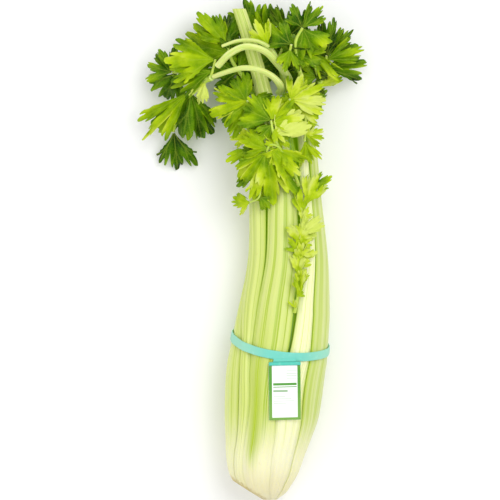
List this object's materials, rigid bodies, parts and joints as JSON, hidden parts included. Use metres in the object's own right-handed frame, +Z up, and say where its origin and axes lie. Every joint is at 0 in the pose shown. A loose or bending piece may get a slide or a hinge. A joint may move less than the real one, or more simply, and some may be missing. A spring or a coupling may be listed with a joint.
{
  "type": "head of celery",
  "caption": "Trimmed head of green celery lying on its side: ribbed stalks from one crown, leafy top, a paper-tagged band around the waist.",
  "frame": {"origin": "on the flat spot of the lowest stalk, where the head rests on the surface", "axes": "+Y along the head from the cut butt to the leaves, +Z up from the surface, +X to the right seen from above"},
  "size_m": [0.2045, 0.4511, 0.0845],
  "materials": {
    "stalk": "moist ribbed skin, satin",
    "inner_stalk": "moist, satin",
    "crown": "cut flesh, matte",
    "leaf": "leaf, satin",
    "deep_leaf": "leaf, satin",
    "pale_leaf": "young leaf, satin",
    "band": "soft, matte",
    "tag": "coated card, satin"
  },
  "bodies": {
    "root": {"crown": "crown", "stalk_front_broad": "stalk", "stalk_front_right": "stalk", "stalk_right": "stalk", "stalk_low_right": "stalk", "stalk_low": "stalk", "stalk_low_left": "stalk", "stalk_left_short": "stalk", "stalk_left": "stalk", "stalk_inner_1": "inner_stalk", "stalk_inner_2": "inner_stalk", "stalk_inner_3": "inner_stalk", "stalk_inner_4": "inner_stalk", "stalk_inner_5": "inner_stalk", "stalk_inner_6": "inner_stalk", "stalk_core_1": "inner_stalk", "stalk_core_2": "inner_stalk", "stalk_core_3": "inner_stalk", "stalk_core_4": "inner_stalk", "stalk_heart_1": "inner_stalk", "stalk_heart_2": "inner_stalk", "leaf_arched_cut": "inner_stalk", "stem_arched_low": "inner_stalk", "leaves_left": "leaf", "leaves_top_left": "deep_leaf", "leaves_top": "deep_leaf", "leaves_top_right": "leaf", "leaves_right": "deep_leaf", "leaves_front_left": "leaf", "leaves_front": "pale_leaf", "leaves_front_right": "pale_leaf", "leaves_heart": "pale_leaf", "leaves_low_left": "deep_leaf", "leaves_low_right": "deep_leaf", "band": "band", "tag": "tag"}
  },
  "joints": []
}
